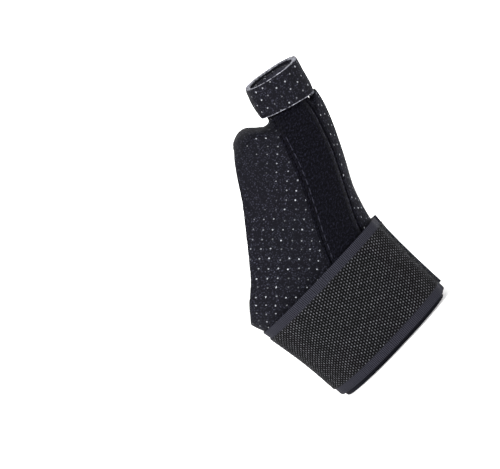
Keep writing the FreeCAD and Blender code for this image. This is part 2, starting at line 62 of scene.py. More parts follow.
def surfaceOf(*names):
    points, faces = [], []
    for name in names:
        mesh = frame["nodes"][name].data
        first = len(points)
        points += [v.co.copy() for v in mesh.vertices]
        faces += [[first + i for i in p.vertices] for p in mesh.polygons]
    return BVHTree.FromPolygons(points, faces)


def castHit(tree, ray):
    # a ray stops before the middle, so that it never finds the far wall from inside
    start, towards, reach = ray
    return tree.ray_cast(start, towards, reach)[0]


# rays that look at the object from outside, each for one kind of piece
def palmRay(x, z):
    return Vector((x, -0.08, z)), Vector((0, 1, 0)), 0.078


def backRay(x, z):
    return Vector((x, 0.08, z)), Vector((0, -1, 0)), 0.08


def wristRay(angle, z):
    out = Vector((cos(radians(angle)), sin(radians(angle)), 0))
    return Vector((-0.002, 0, z)) + out * 0.09, -out, 0.088


def panelRay(angle, z):
    out = Vector((cos(radians(angle)), sin(radians(angle)), 0))
    spine = Vector((np.interp(z, [0.0, 0.05, 0.08, 0.12], [0.005, 0.008, 0.026, 0.044]), -0.003, z))
    return spine + out * 0.08, -out, 0.078


thumbAxis = Vector((0.3055, -0.132, 0.943)).normalized()
thumbCentre = Vector((0.0501, -0.0068, 0.130))
thumbSide = Vector((1, 0, 0)) - thumbAxis * thumbAxis.x
thumbSide.normalize()
thumbBack = thumbAxis.cross(thumbSide)


def thumbRay(angle, along):
    out = thumbSide * cos(radians(angle)) + thumbBack * sin(radians(angle))
    return thumbCentre + thumbAxis * along + out * 0.04, -out, 0.037


def spanSeen(tree, rayAt, row, low, high, step):
    # first and last place in a row where the surface is met
    seen = [t for t in np.arange(low, high + step / 2, step) if castHit(tree, rayAt(t, row))]
    return (seen[0], seen[-1]) if seen else None


def wrapTable(tree, rayAt, rows, span, columns, under=None, inset=0.0):
    # points on the surface, rows by columns, and the points under them
    top, base = [], []
    for row in rows:
        low, high = span(row)
        low, high = low + inset, high - inset
        line, floorLine = [], []
        for t in np.linspace(low, high, columns):
            ray = rayAt(t, row)
            hit = castHit(tree, ray)
            line.append(hit)
            floorLine.append(castHit(under, ray) if under else hit)
        top.append(fillLine(line))
        base.append(fillLine(floorLine))
    return np.array(top), np.array(base)


def fillLine(line):
    # missed rays take the place of their nearest neighbour
    known = [i for i, p in enumerate(line) if p is not None]
    return [tuple(line[min(known, key=lambda k: abs(k - i))]) for i in range(len(line))]


def smoothTable(table, times=2):
    # evens out the small flats of the CAD mesh, ends kept
    table = table.copy()
    for _ in range(times):
        table[:, 1:-1] = (table[:, :-2] + 2 * table[:, 1:-1] + table[:, 2:]) / 4
        if len(table) > 2:
            table[1:-1] = (table[:-2] + 2 * table[1:-1] + table[2:]) / 4
    return table


def smoothEdges(edges, times):
    for _ in range(times):
        edges[1:-1] = (edges[:-2] + 2 * edges[1:-1] + edges[2:]) / 4


def readTable(table, u, v):
    # bilinear reading; u runs along a row, v over the rows, both 0 to 1
    rows, columns = table.shape[:2]
    a, b = u * (columns - 1), v * (rows - 1)
    i, j = np.minimum(a.astype(int), columns - 2), np.minimum(b.astype(int), rows - 2)
    a, b = (a - i)[:, None], (b - j)[:, None]
    near = table[j, i] * (1 - a) + table[j, i + 1] * a
    far = table[j + 1, i] * (1 - a) + table[j + 1, i + 1] * a
    return near * (1 - b) + far * b


def tableNormals(table, outwards):
    du = np.gradient(table, axis=1)
    dv = np.gradient(table, axis=0)
    n = np.cross(du, dv)
    n /= np.maximum(np.linalg.norm(n, axis=2, keepdims=True), 1e-12)
    if outwards is not None and (n * (table - np.array(outwards))).sum() < 0:
        n = -n
    return n


def rowLength(table, row):
    return float(np.linalg.norm(np.diff(table[row], axis=0), axis=1).sum())


def evenRows(table):
    # same spacing along each row
    out = []
    for line in table:
        gone = np.r_[0, np.cumsum(np.linalg.norm(np.diff(line, axis=0), axis=1))]
        want = np.linspace(0, gone[-1], len(line))
        out.append(np.stack([np.interp(want, gone, line[:, k]) for k in range(3)], 1))
    return np.array(out)


# making pieces

def deselectAll():
    bpy.ops.object.select_all(action="DESELECT")


def useOnly(piece):
    deselectAll()
    piece.select_set(True)
    bpy.context.view_layer.objects.active = piece


def addModifier(piece, kind, **settings):
    useOnly(piece)
    bpy.ops.object.modifier_add(type=kind)
    modifier = piece.modifiers[-1]
    for key, value in settings.items():
        setattr(modifier, key, value)
    bpy.ops.object.modifier_apply(modifier=modifier.name)


def gridPiece(name, countU, countV):
    deselectAll()
    bpy.ops.mesh.primitive_grid_add(x_subdivisions=countU, y_subdivisions=countV, size=1)
    piece = bpy.context.object
    piece.name = name
    return piece


def getPoints(piece):
    points = np.empty(len(piece.data.vertices) * 3)
    piece.data.vertices.foreach_get("co", points)
    return points.reshape(-1, 3)


def setPoints(piece, points):
    piece.data.vertices.foreach_set("co", points.ravel())
    piece.data.update()


def setAttribute(piece, name, values):
    kind = "FLOAT_VECTOR" if values.ndim == 2 else "FLOAT"
    attribute = piece.data.attributes.new(name, kind, "POINT")
    attribute.data.foreach_set("vector" if values.ndim == 2 else "value", values.ravel().astype(np.float32))


def readAttribute(piece, name):
    values = np.empty(len(piece.data.vertices) * 3)
    piece.data.attributes[name].data.foreach_get("vector", values)
    return values.reshape(-1, 3)


def waviness(points, size, seed):
    # slow, repeatable unevenness of cloth, -1 to 1
    return np.array([noise.noise(Vector(p) / size + Vector((seed, seed, seed))) for p in points])


creaseAngle = radians(62)     # edges sharper than this stay hard


def layGrid(name, top, base, counts, swell=None, relief=None, outwards=None, thickness=mm,
            coords=None, edgeMaterial=False):
    # a grid laid on a table of points: swell says how far it rises from base to top,
    # relief adds along the normal, and coords gives the cloth's own flat coordinates
    piece = gridPiece(name, *counts)
    flat = getPoints(piece)
    u, v = flat[:, 0] + 0.5, flat[:, 1] + 0.5
    upper, lower = readTable(top, u, v), readTable(base, u, v)
    normal = readTable(tableNormals(top, outwards), u, v)
    normal /= np.maximum(np.linalg.norm(normal, axis=1, keepdims=True), 1e-9)
    width, height = rowLength(top, len(top) // 2), rowLength(top.transpose(1, 0, 2), top.shape[1] // 2)
    rise = swell(u, v) if swell else np.ones_like(u)
    points = lower + (upper - lower) * rise[:, None]
    shape = relief(u, v, width, height, points) if relief else np.zeros_like(u)
    points = points + normal * shape[:, None]
    setPoints(piece, points)
    useOnly(piece)
    polygon = piece.data.polygons[len(piece.data.polygons) // 2]
    if Vector(normal[polygon.vertices[0]]).dot(polygon.normal) < 0:
        bpy.ops.object.mode_set(mode="EDIT")
        bpy.ops.mesh.select_all(action="SELECT")
        bpy.ops.mesh.flip_normals()
        bpy.ops.object.mode_set(mode="OBJECT")
    if coords:
        cloth = coords(u, points)
    else:
        cloth = np.stack([u * width, v * height, 0 * u], 1)
    setAttribute(piece, "cloth", cloth / mm)
    setAttribute(piece, "relief", shape / mm)
    addModifier(piece, "SOLIDIFY", thickness=thickness, offset=-1.0, material_offset_rim=int(edgeMaterial))
    bpy.ops.object.shade_smooth_by_angle(angle=creaseAngle)
    print("made", name, len(piece.data.polygons), "faces,",
          round(width / mm, 1), "x", round(height / mm, 1), "mm")
    return piece


def dress(piece, body, materials, replaced=()):
    while len(piece.data.materials):
        piece.data.materials.pop()
    for material in materials:
        piece.data.materials.append(material)
    if body:
        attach(piece, body)
    if replaced:
        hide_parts(*replaced)


# materials

def colour(hexValue):
    channels = [int(hexValue[i:i + 2], 16) / 255 for i in (1, 3, 5)]
    return tuple(c / 12.92 if c <= 0.04045 else ((c + 0.055) / 1.055) ** 2.4 for c in channels) + (1.0,)


def addNode(tree, kind, settings=None, links=None):
    node = tree.nodes.new(kind)
    for key, value in (settings or {}).items():
        if isinstance(key, str) and hasattr(node, key):
            setattr(node, key, value)
        else:
            node.inputs[key].default_value = value
    for key, socket in (links or {}).items():
        tree.links.new(socket, node.inputs[key])
    return node


def newMaterial(name, **shader):
    material = bpy.data.materials.new(name)
    material.use_nodes = True
    tree = material.node_tree
    bsdf = tree.nodes["Principled BSDF"]
    for key, value in shader.items():
        bsdf.inputs[key.replace("_", " ")].default_value = value
    return material, tree, bsdf


def latticeDots(tree, coords, pitch, angle, size, jitter):
    # round holes on a square lattice; gives the hole's mask and one random value for each hole
    placed = addNode(tree, "ShaderNodeMapping", {"vector_type": "POINT", "Rotation": (0, 0, radians(angle)),
                                                 "Scale": (1 / pitch,) * 3}, {"Vector": coords})
    cell = addNode(tree, "ShaderNodeVectorMath", {"operation": "FLOOR"}, {0: placed.outputs[0]})
    inCell = addNode(tree, "ShaderNodeVectorMath", {"operation": "FRACTION"}, {0: placed.outputs[0]})
    chance = addNode(tree, "ShaderNodeTexWhiteNoise", {"noise_dimensions": "3D"}, {"Vector": cell.outputs[0]})
    shift = addNode(tree, "ShaderNodeVectorMath", {"operation": "MULTIPLY_ADD", 1: (jitter, jitter, 0),
                                                   2: (-0.5 - jitter / 2, -0.5 - jitter / 2, 0)},
                    {0: chance.outputs["Color"]})
    centred = addNode(tree, "ShaderNodeVectorMath", {"operation": "ADD"},
                      {0: inCell.outputs[0], 1: shift.outputs[0]})
    flat = addNode(tree, "ShaderNodeVectorMath", {"operation": "MULTIPLY", 1: (1, 1, 0)},
                   {0: centred.outputs[0]})
    away = addNode(tree, "ShaderNodeVectorMath", {"operation": "LENGTH"}, {0: flat.outputs[0]})
    hole = addNode(tree, "ShaderNodeMapRange",
                   {"interpolation_type": "SMOOTHSTEP", "From Min": size * 1.35 / pitch,
                    "From Max": size * 0.75 / pitch},
                   {"Value": away.outputs["Value"]})
    return hole.outputs[0], chance.outputs["Value"]


perforated = {
    "base": "#07070e",        # near-black navy knit over foam
    "fleck": "#4d4e5e",       # painted highlight: loops of the knit painted paler where they catch the light
    "hole": "#c9ccd4",        # foam seen at the bottom of a hole
    "pitch": 4.6,             # mm between holes
    "holeSize": 0.36,         # mm, radius
    "knit": 0.95,             # mm between knit loops
    "jitter": 0.2,            # how far a hole strays, as a share of the pitch
}


def perforatedLaminate(name, angle):
    # foam laminate faced with knitted nylon and punched with small holes: dull, with pale holes and a painted
    # highlight on the knit loops
    material, tree, bsdf = newMaterial(name, Roughness=0.85, Specular_IOR_Level=0.12)
    coords = addNode(tree, "ShaderNodeAttribute", {"attribute_name": "cloth"}).outputs["Vector"]
    hole, chance = latticeDots(tree, coords, perforated["pitch"], angle, perforated["holeSize"],
                               perforated["jitter"])
    plain = addNode(tree, "ShaderNodeAttribute", {"attribute_name": "plain"}).outputs["Fac"]
    loops = addNode(tree, "ShaderNodeTexVoronoi",
                    {"feature": "F1", "Scale": 1 / perforated["knit"], "Randomness": 0.8},
                    {"Vector": coords})
    loopMask = addNode(tree, "ShaderNodeMapRange", {"From Min": 0.5, "From Max": 0.1},
                       {"Value": loops.outputs["Distance"]})
    cloud = addNode(tree, "ShaderNodeTexNoise", {"Scale": 0.9, "Detail": 6.0, "Roughness": 0.8},
                    {"Vector": coords})
    clouded = addNode(tree, "ShaderNodeMapRange", {"From Min": 0.42, "From Max": 0.72},
                      {"Value": cloud.outputs[0]})
    loopHighlightAmount = addNode(tree, "ShaderNodeMath", {"operation": "MULTIPLY"},
                          {0: loopMask.outputs[0], 1: clouded.outputs[0]})
    # painted highlight: the knit loops, in clouds, are painted paler as if catching the light
    body = addNode(tree, "ShaderNodeMix",
                   {"data_type": "RGBA", 6: colour(perforated["base"]), 7: colour(perforated["fleck"])},
                   {0: loopHighlightAmount.outputs[0]})
    lit = addNode(tree, "ShaderNodeMath", {"operation": "POWER", 1: 1.4}, {0: chance})
    bright = addNode(tree, "ShaderNodeMapRange", {"To Min": 0.1, "To Max": 0.7}, {"Value": lit.outputs[0]})
    punched = addNode(tree, "ShaderNodeMath", {"operation": "SUBTRACT", "use_clamp": True},
                      {0: hole, 1: plain})
    holeMix = addNode(tree, "ShaderNodeMath", {"operation": "MULTIPLY"},
                      {0: punched.outputs[0], 1: bright.outputs[0]})
    painted = addNode(tree, "ShaderNodeMix", {"data_type": "RGBA", 7: colour(perforated["hole"])},
                      {0: holeMix.outputs[0], 6: body.outputs[2]})
    tree.links.new(painted.outputs[2], bsdf.inputs["Base Color"])
    height = addNode(tree, "ShaderNodeMath", {"operation": "MULTIPLY", 1: 0.5}, {0: loopMask.outputs[0]})
    dented = addNode(tree, "ShaderNodeMath", {"operation": "SUBTRACT"}, {0: height.outputs[0],
                                                                          1: punched.outputs[0]})
    bump = addNode(tree, "ShaderNodeBump", {"Strength": 0.8, "Distance": 0.4 * mm},
                   {"Height": dented.outputs[0]})
    tree.links.new(bump.outputs[0], bsdf.inputs["Normal"])
    return material


def brushedLoop(name, base="#020205", tip="#2b2b3a"):
    # brushed nylon loop, a short velour that hook tape grips: very dull
    material, tree, bsdf = newMaterial(name, Roughness=0.95, Specular_IOR_Level=0.05, Sheen_Weight=0.02)
    coords = addNode(tree, "ShaderNodeAttribute", {"attribute_name": "cloth"}).outputs["Vector"]
    pile = addNode(tree, "ShaderNodeTexNoise", {"Scale": 0.9, "Detail": 5.0, "Roughness": 0.85},
                   {"Vector": coords})
    tone = addNode(tree, "ShaderNodeMapRange", {"From Min": 0.5, "From Max": 0.78}, {"Value": pile.outputs[0]})
    painted = addNode(tree, "ShaderNodeMix", {"data_type": "RGBA", 6: colour(base), 7: colour(tip)},
                      {0: tone.outputs[0]})
    tree.links.new(painted.outputs[2], bsdf.inputs["Base Color"])
    bump = addNode(tree, "ShaderNodeBump", {"Strength": 0.7, "Distance": 0.35 * mm},
                   {"Height": pile.outputs[0]})
    tree.links.new(bump.outputs[0], bsdf.inputs["Normal"])
    return material


def wovenElastic(name):
    # polyester webbing over rubber cores: satin beads, their tops given a painted highlight and their valleys
    # painted dark as painted shade; paler ribbed edges
    material, tree, bsdf = newMaterial(name, Roughness=0.72, Specular_IOR_Level=0.08)
    coords = addNode(tree, "ShaderNodeAttribute", {"attribute_name": "cloth"}).outputs["Vector"]
    relief = addNode(tree, "ShaderNodeAttribute", {"attribute_name": "bead"}).outputs["Fac"]
    edge = addNode(tree, "ShaderNodeAttribute", {"attribute_name": "edge"}).outputs["Fac"]
    paintedLightShare = addNode(tree, "ShaderNodeMapRange", {"From Min": 0.4, "From Max": 1.0}, {"Value": relief})
    tone = addNode(tree, "ShaderNodeMath", {"operation": "POWER", 1: 3.4}, {0: paintedLightShare.outputs[0]})
    fine = addNode(tree, "ShaderNodeTexNoise", {"Scale": 1.6, "Detail": 3.0}, {"Vector": coords})
    uneven = addNode(tree, "ShaderNodeMapRange",
                     {"From Min": 0.3, "From Max": 0.7, "To Min": 0.6, "To Max": 1.15},
                     {"Value": fine.outputs[0]})
    paintedLightAmount = addNode(tree, "ShaderNodeMath", {"operation": "MULTIPLY", "use_clamp": True},
                     {0: tone.outputs[0], 1: uneven.outputs[0]})
    # painted light: by the bead's height, valleys are painted near-black as painted shade and tops pale grey as
    # a painted highlight
    bead = addNode(tree, "ShaderNodeMix", {"data_type": "RGBA", 6: colour("#010102"), 7: colour("#8b8c92")},
                   {0: paintedLightAmount.outputs[0]})
    ribs = addNode(tree, "ShaderNodeTexWave", {"wave_type": "BANDS", "bands_direction": "X", "Scale": 0.35,
                                               "Distortion": 1.2, "Detail Scale": 2.0}, {"Vector": coords})
    ribTone = addNode(tree, "ShaderNodeMix", {"data_type": "RGBA", 6: colour("#060609"), 7: colour("#31313b")},
                      {0: ribs.outputs["Fac"]})
    painted = addNode(tree, "ShaderNodeMix", {"data_type": "RGBA"},
                      {0: edge, 6: bead.outputs[2], 7: ribTone.outputs[2]})
    tree.links.new(painted.outputs[2], bsdf.inputs["Base Color"])
    bumpHeight = addNode(tree, "ShaderNodeMath", {"operation": "MULTIPLY"},
                         {0: ribs.outputs["Fac"], 1: edge})
    bump = addNode(tree, "ShaderNodeBump", {"Strength": 0.6, "Distance": 0.2 * mm},
                   {"Height": bumpHeight.outputs[0]})
    tree.links.new(bump.outputs[0], bsdf.inputs["Normal"])
    return material


def plainCloth(name, base, tip, scale=1.4, roughness=0.85):
    # fine-knit or woven cloth: dull, with a slight mottling of the threads
    material, tree, bsdf = newMaterial(name, Roughness=roughness, Specular_IOR_Level=0.15)
    coords = addNode(tree, "ShaderNodeTexCoord").outputs["Object"]
    grain = addNode(tree, "ShaderNodeTexNoise", {"Scale": scale / mm, "Detail": 4.0}, {"Vector": coords})
    tone = addNode(tree, "ShaderNodeMapRange", {"From Min": 0.35, "From Max": 0.7}, {"Value": grain.outputs[0]})
    painted = addNode(tree, "ShaderNodeMix", {"data_type": "RGBA", 6: colour(base), 7: colour(tip)},
                      {0: tone.outputs[0]})
    tree.links.new(painted.outputs[2], bsdf.inputs["Base Color"])
    bump = addNode(tree, "ShaderNodeBump", {"Strength": 0.4, "Distance": 0.2 * mm},
                   {"Height": grain.outputs[0]})
    tree.links.new(bump.outputs[0], bsdf.inputs["Normal"])
    return material


palmLaminate = perforatedLaminate("perforatedFoamLaminatePalm", 50.5)
bandLaminate = perforatedLaminate("perforatedFoamLaminateBand", 12.0)
panelLaminate = perforatedLaminate("perforatedFoamLaminateSide", 20.0)
liningCloth = plainCloth("brushedJerseyLining", "#1b1b22", "#2c2c36")
pocketLoop = brushedLoop("brushedLoopPocket")
patchLoop = brushedLoop("brushedLoopPatch", "#0d0d12", "#22222b")
elastic = wovenElastic("wovenElasticWebbing")
bindingTape = plainCloth("foldedBindingTape", "#0a0a11", "#191a24", 2.2)
foamEdge = plainCloth("cutFoamEdge", "#1c1c24", "#9b9ca5", 0.7, 0.95)
hookTape = plainCloth("mouldedNylonHook", "#0b0b0d", "#202024", 1.0, 0.45)
thread = plainCloth("polyesterThread", "#14141d", "#2b2b37", 3.0, 0.6)


def satinAluminium(name):
    # rolled aluminium bar: fine lines along the rolling direction
    material, tree, bsdf = newMaterial(name, Base_Color=colour("#c9cbce"), Metallic=1.0)
    coords = addNode(tree, "ShaderNodeTexCoord").outputs["Object"]
    stretched = addNode(tree, "ShaderNodeMapping", {"Scale": (900.0, 900.0, 40.0)}, {"Vector": coords})
    lines = addNode(tree, "ShaderNodeTexNoise", {"Scale": 1.0, "Detail": 3.0}, {"Vector": stretched.outputs[0]})
    rough = addNode(tree, "ShaderNodeMapRange", {"To Min": 0.25, "To Max": 0.5}, {"Value": lines.outputs[0]})
    tree.links.new(rough.outputs[0], bsdf.inputs["Roughness"])
    return material


# the sleeve: one thick skin made from the two bonded layers

sleeve = {
    "voxel": 0.95 * mm,
    "unevenness": 0.21 * mm,
    "depth": 22.5 * mm,       # half the depth of its section, for the flat coordinates
    "plainReach": 27 * mm,    # no holes this near the thumb web
    "plainFade": 12 * mm,
    "liningBias": 0.3 * mm,   # how much nearer the lining a face must be to count as lining
    "flat": (0.205, 0.141),
    "area": 0.0216,           # the finished mesh's own; there is no pattern of the real sleeve
}
web = np.array([2, 112]) * mm  # x and z of the thumb web
slices = 24


def copyNode(name):
    deselectAll()
    node = frame["nodes"][name]
    node.select_set(True)
    bpy.context.view_layer.objects.active = node
    bpy.ops.object.duplicate()
    copy = bpy.context.object
    copy.parent = None
    for key in list(copy.keys()):
        del copy[key]
    return copy


def unroll(points):
    # lays the sleeve out flat: x along its section, measured from the palm side, and height
    z = points[:, 2]
    right = np.interp(z / mm, [0, 30, 58, 82, 106, 131], [33, 33, 36, 47, 59, 64]) * mm
    left = np.interp(z / mm, [0, 30, 58, 70], [-35, -37, -43.6, -45.5]) * mm
    centre, half, depth = (right + left) / 2, (right - left) / 2, sleeve["depth"]
    t = np.arctan2((points[:, 1] + 2 * mm) / depth, (points[:, 0] - centre) / half)
    t = (t + pi / 2 + pi) % (2 * pi) - pi          # 0 in the middle of the palm side
    steps = np.linspace(-pi, pi, 721)
    out = np.zeros(len(points))
    for i in range(slices):
        low, high = z.min() + (z.max() - z.min()) * np.array([i, i + 1]) / slices
        take = (z >= low) & (z <= high)
        if not take.any():
            continue
        a = half[take].mean()
        speed = np.sqrt((a * np.cos(steps)) ** 2 + (depth * np.sin(steps)) ** 2)
        gone = np.cumsum(speed) * (steps[1] - steps[0])
        gone -= np.interp(0, steps, gone)
        out[take] = np.interp(t[take], steps, gone) + centre[take]
    return np.stack([out, z, 0 * z], 1)


def makeSleeve():
    outer, inner = copyNode("outer_sleeve"), copyNode("lining")
    deselectAll()
    outer.select_set(True)
    inner.select_set(True)
    bpy.context.view_layer.objects.active = outer
    bpy.ops.object.join()
    piece = bpy.context.object
    piece.name = "sleeveShell"
    piece.data = piece.data.copy()
    addModifier(piece, "WELD", merge_threshold=0.01 * mm)
    addModifier(piece, "REMESH", mode="VOXEL", voxel_size=sleeve["voxel"])
    addModifier(piece, "SMOOTH", factor=0.5, iterations=6)
    points = getPoints(piece)
    cloth = unroll(points)
    normals = np.empty(len(points) * 3)
    piece.data.vertices.foreach_get("normal", normals)
    push = waviness(points, 0.016, 3.0) * 0.6 + waviness(points, 0.007, 8.0) * 0.4
    setPoints(piece, points + normals.reshape(-1, 3) * (push * sleeve["unevenness"])[:, None])
    setAttribute(piece, "cloth", cloth / mm)
    toWeb = np.linalg.norm(points[:, [0, 2]] - web, axis=1)
    setAttribute(piece, "plain", np.clip((sleeve["plainReach"] - toWeb) / sleeve["plainFade"], 0, 1) * 0.9)
    liningTree, outerTree = surfaceOf("lining"), surfaceOf("outer_sleeve")
    dress(piece, "sleeve", [palmLaminate, liningCloth], ["outer_sleeve", "lining"])
    index = []
    for face in piece.data.polygons:
        toOuter = outerTree.find_nearest(face.center)[3]
        toInner = liningTree.find_nearest(face.center)[3]
        index.append(1 if toInner < toOuter - sleeve["liningBias"] else 0)
    piece.data.polygons.foreach_set("material_index", index)
    useOnly(piece)
    bpy.ops.object.shade_smooth()
    print("made sleeveShell", len(piece.data.polygons), "faces")


sleeveTree = surfaceOf("outer_sleeve")
makeSleeve()


# stay pockets

pocket = {
    "hem": 0.86,              # where the seam runs, as a share of the half width
    "hemRise": 0.42,          # thickness of the sewn edge, as a share of the whole
    "pucker": 0.11 * mm,      # gathers along the seam
    "crease": 0.28 * mm,      # small folds across the top, where the thumb bends
    "creasePitch": 2.9 * mm,
    "stitchPitch": 3.4 * mm,
    "seat": 0.05 * mm,        # how far a stitch's middle stands out of the cloth
    "thickness": 0.55 * mm,
    "flat": (0.0284, 0.1335), # widest by mean length, over the CAD's face
    "area": 0.00346,          # 26 mm mean width
}


def pocketSwell(u, v):
    share = np.abs(2 * u - 1)
    seam = pocket["hem"]
    inside = np.clip((seam - share) / 0.2, 0, 1)
    body = pocket["hemRise"] + (1 - pocket["hemRise"]) * inside ** 2 * (3 - 2 * inside)
    groove = 0.18 * np.exp(-((share - seam) / 0.03) ** 2)
    edge = np.clip((1 - share) / 0.06, 0, 1) ** 0.7
    ends = np.clip(np.minimum(v, 1 - v) / 0.01, 0, 1) ** 0.5
    return np.maximum((body - groove) * edge * ends, 0.04)


def pocketRelief(u, v, width, height, points):
    share = np.abs(2 * u - 1)
    gathers = np.sin(v * height / pocket["stitchPitch"] * 2 * pi)
    gathers *= np.exp(-((share - pocket["hem"] + 0.06) / 0.07) ** 2)
    creases = np.sin(v * height / pocket["creasePitch"] * 2 * pi + 2 * np.sin(u * 5))
    creases *= np.clip((v - 0.8) / 0.1, 0, 1)
    slow = waviness(points, 0.011, 5.0) * 0.3 * mm
    return gathers * pocket["pucker"] + creases * pocket["crease"] + slow


def makePocket(node, rayAt, name, outwards):
    tree = surfaceOf(node)
    low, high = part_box(node)
    rows = np.linspace(low[2] + 0.3 * mm, high[2] - 0.3 * mm, 46)
    edges = np.array([spanSeen(tree, rayAt, z, low[0] - mm, high[0] + mm, 0.25 * mm) for z in rows])
    smoothEdges(edges, 3)
    span = lambda z: tuple(np.interp(z, rows, edges[:, k]) for k in (0, 1))
    top, base = wrapTable(tree, rayAt, rows, span, 40, sleeveTree, 0.2 * mm)
    top, base = smoothTable(top, 3), smoothTable(base, 3)
    piece = layGrid(name, top, base, (96, 420), pocketSwell, pocketRelief, outwards,
                    pocket["thickness"])
    dress(piece, "sleeve", [pocketLoop], [node])
    seatStitches(node.replace("stay_pocket", "pocket_stitches"), piece)


def seatStitches(node, onto):
    # sets each stitch of the CAD down into the cloth that it sews
    piece = copyNode(node)
    first, *others = node.split("_")
    piece.name = first + "".join(word.title() for word in others)
    piece.data = piece.data.copy()
    addModifier(piece, "WELD", merge_threshold=0.01 * mm)
    tree = BVHTree.FromObject(onto, bpy.context.evaluated_depsgraph_get())
    points = getPoints(piece)
    links = [[] for _ in points]
    for edge in piece.data.edges:
        a, b = edge.vertices
        links[a].append(b)
        links[b].append(a)
    seen = set()
    for start in range(len(points)):
        if start in seen:
            continue
        island, queue = [], [start]
        seen.add(start)
        while queue:
            at = queue.pop()
            island.append(at)
            for other in links[at]:
                if other not in seen:
                    seen.add(other)
                    queue.append(other)
        centre = Vector(points[island].mean(0))
        place, normal = tree.find_nearest(centre)[:2]
        points[island] += np.array(place - centre + normal * pocket["seat"])
    setPoints(piece, points)
    bpy.ops.object.shade_smooth()
    dress(piece, "sleeve", [thread], [node])


makePocket("palm_stay_pocket", palmRay, "palmStayPocket", (0.03, 0.05, 0.07))
makePocket("back_stay_pocket", backRay, "backStayPocket", (0.03, -0.05, 0.07))


# thumb-side panel

panel = {
    "thickness": 0.9 * mm,
    "edgeRise": 0.35,         # thickness of its edge, as a share of the whole
    "flat": (0.0447, 0.1176), # widest by mean length, over the CAD's face
    "area": 0.00388,          # 33 mm mean width
}


def makePanel():
    tree = surfaceOf("thumb_side_panel")
    low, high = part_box("thumb_side_panel")
    rows = np.linspace(low[2] + 0.2 * mm, high[2] - 0.05 * mm, 60)
    spans = [spanSeen(tree, panelRay, z, -88, 88, 0.5) for z in rows]
    rows = np.array([z for z, s in zip(rows, spans) if s])
    edges = np.array([s for s in spans if s])
    span = lambda z: tuple(np.interp(z, rows, edges[:, k]) for k in (0, 1))
    top, base = wrapTable(tree, panelRay, rows, span, 40, sleeveTree, 0.5)
    # one more row carries it a little way in under the thumb band
    top = np.concatenate([top, top[-1:] + (top[-1:] - top[-3:-2]) / 2])
    base = np.concatenate([base, base[-1:] + (base[-1:] - base[-3:-2]) / 2])
    top = smoothTable(top, 3)

    def swell(u, v):
        near = np.minimum(np.minimum(u, 1 - u) * 1.3, np.minimum(v, 1 - v) * 2.5)
        return panel["edgeRise"] + (1 - panel["edgeRise"]) * np.clip(near / 0.035, 0, 1) ** 0.5

    def relief(u, v, width, height, points):
        return waviness(points, 0.012, 9.0) * 0.3 * mm

    def coords(u, points):
        return np.stack([(u - 0.5) * 38 * mm, points[:, 2], 0 * u], 1)

    piece = layGrid("thumbSidePanel", top, smoothTable(base, 3), (90, 200), swell, relief, (0, 0, 0.06),
                    panel["thickness"], coords)
    dress(piece, "sleeve", [panelLaminate], ["thumb_side_panel"])


makePanel()


# wrist strap

strap = {
    "column": 1.30 * mm,      # beads side by side round the wrist
    "row": 1.63 * mm,         # beads one above the other
    "beadHeight": 0.44 * mm,  # kept low for the sheet check's area; the real beads may be higher
    "lean": 0.35,             # how far a bead slants, as a share of a row
    "selvedge": 4.3 * mm,
    "selvedgeDrop": 0.65 * mm,
    "thickness": 1.35 * mm,
    "width": 50 * mm,
    "middle": 27 * mm,        # height of its middle line
    "past": 2.2 * mm,         # how far the free end runs on into the end tape
    "reach": 6 * mm,          # half the length about a fold, passed on with it; nothing here bends the strap
}


def bump01(t):
    return np.sin(pi * (t % 1.0)) ** 0.8


def edgeShare(across, height):
    return np.clip(1 - (np.minimum(across, height - across) - strap["selvedge"]) / (0.7 * mm), 0, 1)


def beadsAt(column, across):
    # staggered beads, each a little different in height
    index = np.floor(column + 1e-6)
    lean = strap["lean"] * (column - index - 0.5)
    row = (across - strap["selvedge"]) / strap["row"] + 0.5 * (index % 2) + lean
    own = np.modf(np.abs(np.sin(index * 12.99 + np.floor(row) * 78.23)) * 437.58)[0]
    return bump01(column) ** 1.2 * (0.12 + 0.88 * bump01(row) ** 0.8) * (0.86 + 0.14 * own)


def strapRelief(column, across, height, points):
    inEdge = edgeShare(across, height)
    hem = np.clip(np.minimum(across, height - across) / (0.7 * mm), 0, 1)
    edge = -strap["selvedgeDrop"] - 0.35 * mm * (1 - hem) ** 2
    bead = (beadsAt(column, across) - 0.75) * strap["beadHeight"]
    slow = waviness(points, 0.018, 12.0) * 0.22 * mm
    return bead * (1 - inEdge) + edge * inEdge + slow


